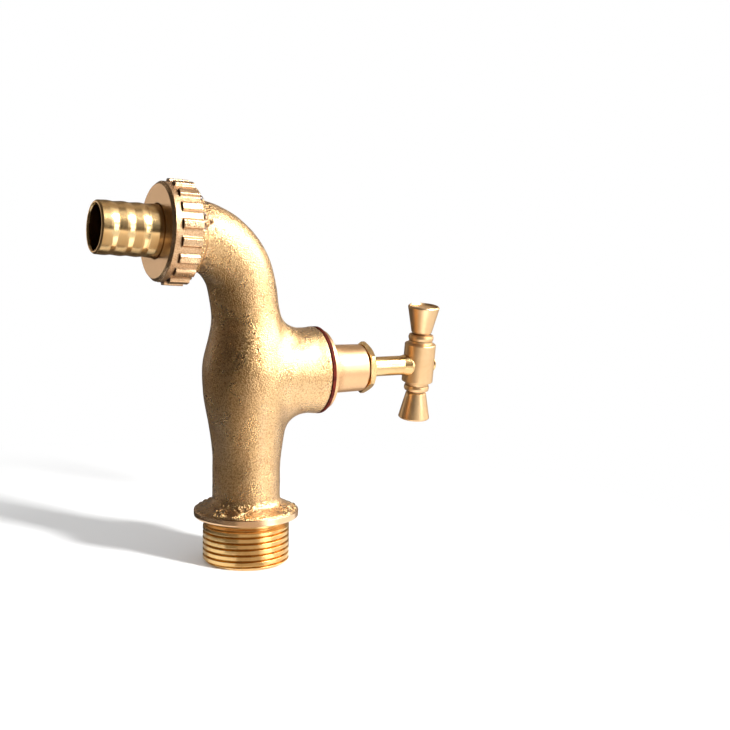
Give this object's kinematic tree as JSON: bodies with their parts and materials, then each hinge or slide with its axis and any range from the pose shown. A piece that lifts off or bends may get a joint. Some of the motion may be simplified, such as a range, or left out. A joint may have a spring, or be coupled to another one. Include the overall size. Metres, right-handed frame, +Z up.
{
  "type": "bibcock",
  "caption": "Cast brass screw-down bibcock with threaded inlet, tee handle, curved spout and a hose tail held by a ribbed union nut.",
  "frame": {"origin": "centre of the inlet's end face, on the axis of the inlet thread", "axes": "+Z up the inlet axis into the tap, +X along the spindle towards the handle, outlet towards -X"},
  "size_m": [0.1139, 0.032, 0.1162],
  "materials": {
    "cast_brass": "sand-cast, brushed bright",
    "turned_brass": "turned",
    "polished_brass": "polished",
    "handle_brass": "satin turned",
    "nut_brass": "hot pressed, front face turned",
    "red_fibre": "vulcanised fibre",
    "packing": "graphited cord",
    "rubber": "matt"
  },
  "bodies": {
    "tap_body": {"body_casting": "cast_brass", "bonnet_washer": "red_fibre", "bonnet": "turned_brass", "packing_washer": "turned_brass", "gland_packing": "packing", "gland_follower": "turned_brass", "gland_screw": "polished_brass"},
    "valve": {"jumper": "turned_brass", "valve_washer": "rubber", "washer_nut": "turned_brass"},
    "spindle": {"spindle": "polished_brass", "tee_handle": "handle_brass"},
    "union_seal": {"union_washer": "rubber"},
    "union_nut": {"union_nut": "nut_brass"},
    "hose_tail": {"hose_tail": "polished_brass"}
  },
  "joints": [
    {"name": "valve_lift", "type": "slide", "parent": "tap_body", "child": "valve", "axis": [1, 0, 0], "range_m": [0, 0.005]},
    {"name": "spindle_turn", "type": "hinge", "parent": "valve", "child": "spindle", "pos_m": [0.0604, 0, 0.05814], "axis": [1, 0, 0], "range_deg": [0, 900]},
    {"name": "union_slide", "type": "slide", "parent": "tap_body", "child": "union_seal", "axis": [-0.9979, 0, 0.0654], "range_m": [0, 0.00544]},
    {"name": "union_turn", "type": "hinge", "parent": "union_seal", "child": "union_nut", "pos_m": [-0.024, 0, 0.1006], "axis": [-0.9979, 0, 0.0654], "range_deg": [0, 1080]},
    {"name": "tail_swivel", "type": "hinge", "parent": "union_seal", "child": "hose_tail", "pos_m": [-0.024, 0, 0.1006], "axis": [-0.9979, 0, 0.0654], "continuous": true}
  ],
  "couplings": [
    {"joint": "spindle_turn", "follows": "valve_lift", "rad_per_m": 3141.5},
    {"joint": "union_turn", "follows": "union_slide", "rad_per_m": 3463.6}
  ]
}
